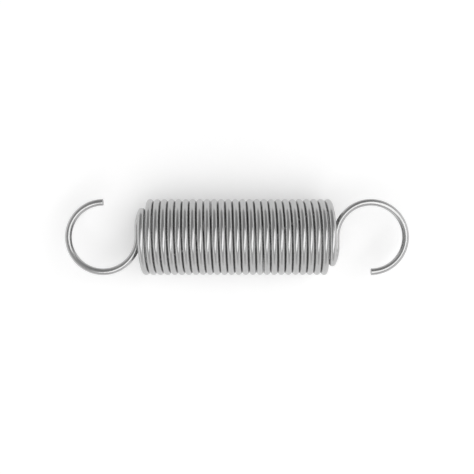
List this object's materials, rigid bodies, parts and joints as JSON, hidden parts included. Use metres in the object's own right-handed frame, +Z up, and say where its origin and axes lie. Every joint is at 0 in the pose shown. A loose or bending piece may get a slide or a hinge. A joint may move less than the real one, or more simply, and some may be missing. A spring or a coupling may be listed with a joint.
{
  "type": "extension spring",
  "caption": "Close-wound cylindrical extension spring of round steel wire, with a full open hook over the centre at each end.",
  "frame": {"origin": "middle of the coil, on its axis", "axes": "+X along the coil's axis from the left hook to the right hook, +Z up, square to the plane of the hooks"},
  "size_m": [0.1016, 0.0226, 0.0226],
  "materials": {
    "spring_wire": "bright drawn wire, smooth, with soft reflections"
  },
  "bodies": {
    "left_end": {"left_hook": "spring_wire", "left_neck": "spring_wire"},
    "turn_01": {"coil_01": "spring_wire"},
    "turn_02": {"coil_02": "spring_wire"},
    "turn_03": {"coil_03": "spring_wire"},
    "turn_04": {"coil_04": "spring_wire"},
    "turn_05": {"coil_05": "spring_wire"},
    "turn_06": {"coil_06": "spring_wire"},
    "turn_07": {"coil_07": "spring_wire"},
    "turn_08": {"coil_08": "spring_wire"},
    "turn_09": {"coil_09": "spring_wire"},
    "turn_10": {"coil_10": "spring_wire"},
    "turn_11": {"coil_11": "spring_wire"},
    "turn_12": {"coil_12": "spring_wire"},
    "turn_13": {"coil_13": "spring_wire"},
    "turn_14": {"coil_14": "spring_wire"},
    "turn_15": {"coil_15": "spring_wire"},
    "turn_16": {"coil_16": "spring_wire"},
    "turn_17": {"coil_17": "spring_wire"},
    "turn_18": {"coil_18": "spring_wire"},
    "turn_19": {"coil_19": "spring_wire"},
    "turn_20": {"coil_20": "spring_wire"},
    "turn_21": {"coil_21": "spring_wire"},
    "turn_22": {"coil_22": "spring_wire"},
    "turn_23": {"coil_23": "spring_wire"},
    "turn_24": {"coil_24": "spring_wire"},
    "turn_25": {"coil_25": "spring_wire"},
    "turn_26": {"coil_26": "spring_wire"},
    "right_end": {"right_neck": "spring_wire", "right_hook": "spring_wire"}
  },
  "joints": [
    {"name": "stretch_01", "type": "slide", "parent": "left_end", "child": "turn_01", "axis": [1, 0, 0], "range_m": [-0.00002, 0.002], "stiffness_N_per_m": 39000},
    {"name": "stretch_02", "type": "slide", "parent": "turn_01", "child": "turn_02", "axis": [1, 0, 0], "range_m": [-0.00003, 0.004], "stiffness_N_per_m": 19500},
    {"name": "stretch_03", "type": "slide", "parent": "turn_02", "child": "turn_03", "axis": [1, 0, 0], "range_m": [-0.00003, 0.004], "stiffness_N_per_m": 19500},
    {"name": "stretch_04", "type": "slide", "parent": "turn_03", "child": "turn_04", "axis": [1, 0, 0], "range_m": [-0.00003, 0.004], "stiffness_N_per_m": 19500},
    {"name": "stretch_05", "type": "slide", "parent": "turn_04", "child": "turn_05", "axis": [1, 0, 0], "range_m": [-0.00003, 0.004], "stiffness_N_per_m": 19500},
    {"name": "stretch_06", "type": "slide", "parent": "turn_05", "child": "turn_06", "axis": [1, 0, 0], "range_m": [-0.00003, 0.004], "stiffness_N_per_m": 19500},
    {"name": "stretch_07", "type": "slide", "parent": "turn_06", "child": "turn_07", "axis": [1, 0, 0], "range_m": [-0.00003, 0.004], "stiffness_N_per_m": 19500},
    {"name": "stretch_08", "type": "slide", "parent": "turn_07", "child": "turn_08", "axis": [1, 0, 0], "range_m": [-0.00003, 0.004], "stiffness_N_per_m": 19500},
    {"name": "stretch_09", "type": "slide", "parent": "turn_08", "child": "turn_09", "axis": [1, 0, 0], "range_m": [-0.00003, 0.004], "stiffness_N_per_m": 19500},
    {"name": "stretch_10", "type": "slide", "parent": "turn_09", "child": "turn_10", "axis": [1, 0, 0], "range_m": [-0.00003, 0.004], "stiffness_N_per_m": 19500},
    {"name": "stretch_11", "type": "slide", "parent": "turn_10", "child": "turn_11", "axis": [1, 0, 0], "range_m": [-0.00003, 0.004], "stiffness_N_per_m": 19500},
    {"name": "stretch_12", "type": "slide", "parent": "turn_11", "child": "turn_12", "axis": [1, 0, 0], "range_m": [-0.00003, 0.004], "stiffness_N_per_m": 19500},
    {"name": "stretch_13", "type": "slide", "parent": "turn_12", "child": "turn_13", "axis": [1, 0, 0], "range_m": [-0.00003, 0.004], "stiffness_N_per_m": 19500},
    {"name": "stretch_14", "type": "slide", "parent": "turn_13", "child": "turn_14", "axis": [1, 0, 0], "range_m": [-0.00003, 0.004], "stiffness_N_per_m": 19500},
    {"name": "stretch_15", "type": "slide", "parent": "turn_14", "child": "turn_15", "axis": [1, 0, 0], "range_m": [-0.00003, 0.004], "stiffness_N_per_m": 19500},
    {"name": "stretch_16", "type": "slide", "parent": "turn_15", "child": "turn_16", "axis": [1, 0, 0], "range_m": [-0.00003, 0.004], "stiffness_N_per_m": 19500},
    {"name": "stretch_17", "type": "slide", "parent": "turn_16", "child": "turn_17", "axis": [1, 0, 0], "range_m": [-0.00003, 0.004], "stiffness_N_per_m": 19500},
    {"name": "stretch_18", "type": "slide", "parent": "turn_17", "child": "turn_18", "axis": [1, 0, 0], "range_m": [-0.00003, 0.004], "stiffness_N_per_m": 19500},
    {"name": "stretch_19", "type": "slide", "parent": "turn_18", "child": "turn_19", "axis": [1, 0, 0], "range_m": [-0.00003, 0.004], "stiffness_N_per_m": 19500},
    {"name": "stretch_20", "type": "slide", "parent": "turn_19", "child": "turn_20", "axis": [1, 0, 0], "range_m": [-0.00003, 0.004], "stiffness_N_per_m": 19500},
    {"name": "stretch_21", "type": "slide", "parent": "turn_20", "child": "turn_21", "axis": [1, 0, 0], "range_m": [-0.00003, 0.004], "stiffness_N_per_m": 19500},
    {"name": "stretch_22", "type": "slide", "parent": "turn_21", "child": "turn_22", "axis": [1, 0, 0], "range_m": [-0.00003, 0.004], "stiffness_N_per_m": 19500},
    {"name": "stretch_23", "type": "slide", "parent": "turn_22", "child": "turn_23", "axis": [1, 0, 0], "range_m": [-0.00003, 0.004], "stiffness_N_per_m": 19500},
    {"name": "stretch_24", "type": "slide", "parent": "turn_23", "child": "turn_24", "axis": [1, 0, 0], "range_m": [-0.00003, 0.004], "stiffness_N_per_m": 19500},
    {"name": "stretch_25", "type": "slide", "parent": "turn_24", "child": "turn_25", "axis": [1, 0, 0], "range_m": [-0.00003, 0.004], "stiffness_N_per_m": 19500},
    {"name": "stretch_26", "type": "slide", "parent": "turn_25", "child": "turn_26", "axis": [1, 0, 0], "range_m": [-0.00003, 0.004], "stiffness_N_per_m": 19500},
    {"name": "stretch_27", "type": "slide", "parent": "turn_26", "child": "right_end", "axis": [1, 0, 0], "range_m": [-0.00002, 0.002], "stiffness_N_per_m": 39000}
  ],
  "couplings": [
    {"joint": "stretch_02", "follows": "stretch_01", "ratio": 2},
    {"joint": "stretch_03", "follows": "stretch_01", "ratio": 2},
    {"joint": "stretch_04", "follows": "stretch_01", "ratio": 2},
    {"joint": "stretch_05", "follows": "stretch_01", "ratio": 2},
    {"joint": "stretch_06", "follows": "stretch_01", "ratio": 2},
    {"joint": "stretch_07", "follows": "stretch_01", "ratio": 2},
    {"joint": "stretch_08", "follows": "stretch_01", "ratio": 2},
    {"joint": "stretch_09", "follows": "stretch_01", "ratio": 2},
    {"joint": "stretch_10", "follows": "stretch_01", "ratio": 2},
    {"joint": "stretch_11", "follows": "stretch_01", "ratio": 2},
    {"joint": "stretch_12", "follows": "stretch_01", "ratio": 2},
    {"joint": "stretch_13", "follows": "stretch_01", "ratio": 2},
    {"joint": "stretch_14", "follows": "stretch_01", "ratio": 2},
    {"joint": "stretch_15", "follows": "stretch_01", "ratio": 2},
    {"joint": "stretch_16", "follows": "stretch_01", "ratio": 2},
    {"joint": "stretch_17", "follows": "stretch_01", "ratio": 2},
    {"joint": "stretch_18", "follows": "stretch_01", "ratio": 2},
    {"joint": "stretch_19", "follows": "stretch_01", "ratio": 2},
    {"joint": "stretch_20", "follows": "stretch_01", "ratio": 2},
    {"joint": "stretch_21", "follows": "stretch_01", "ratio": 2},
    {"joint": "stretch_22", "follows": "stretch_01", "ratio": 2},
    {"joint": "stretch_23", "follows": "stretch_01", "ratio": 2},
    {"joint": "stretch_24", "follows": "stretch_01", "ratio": 2},
    {"joint": "stretch_25", "follows": "stretch_01", "ratio": 2},
    {"joint": "stretch_26", "follows": "stretch_01", "ratio": 2},
    {"joint": "stretch_27", "follows": "stretch_01", "ratio": 1}
  ]
}
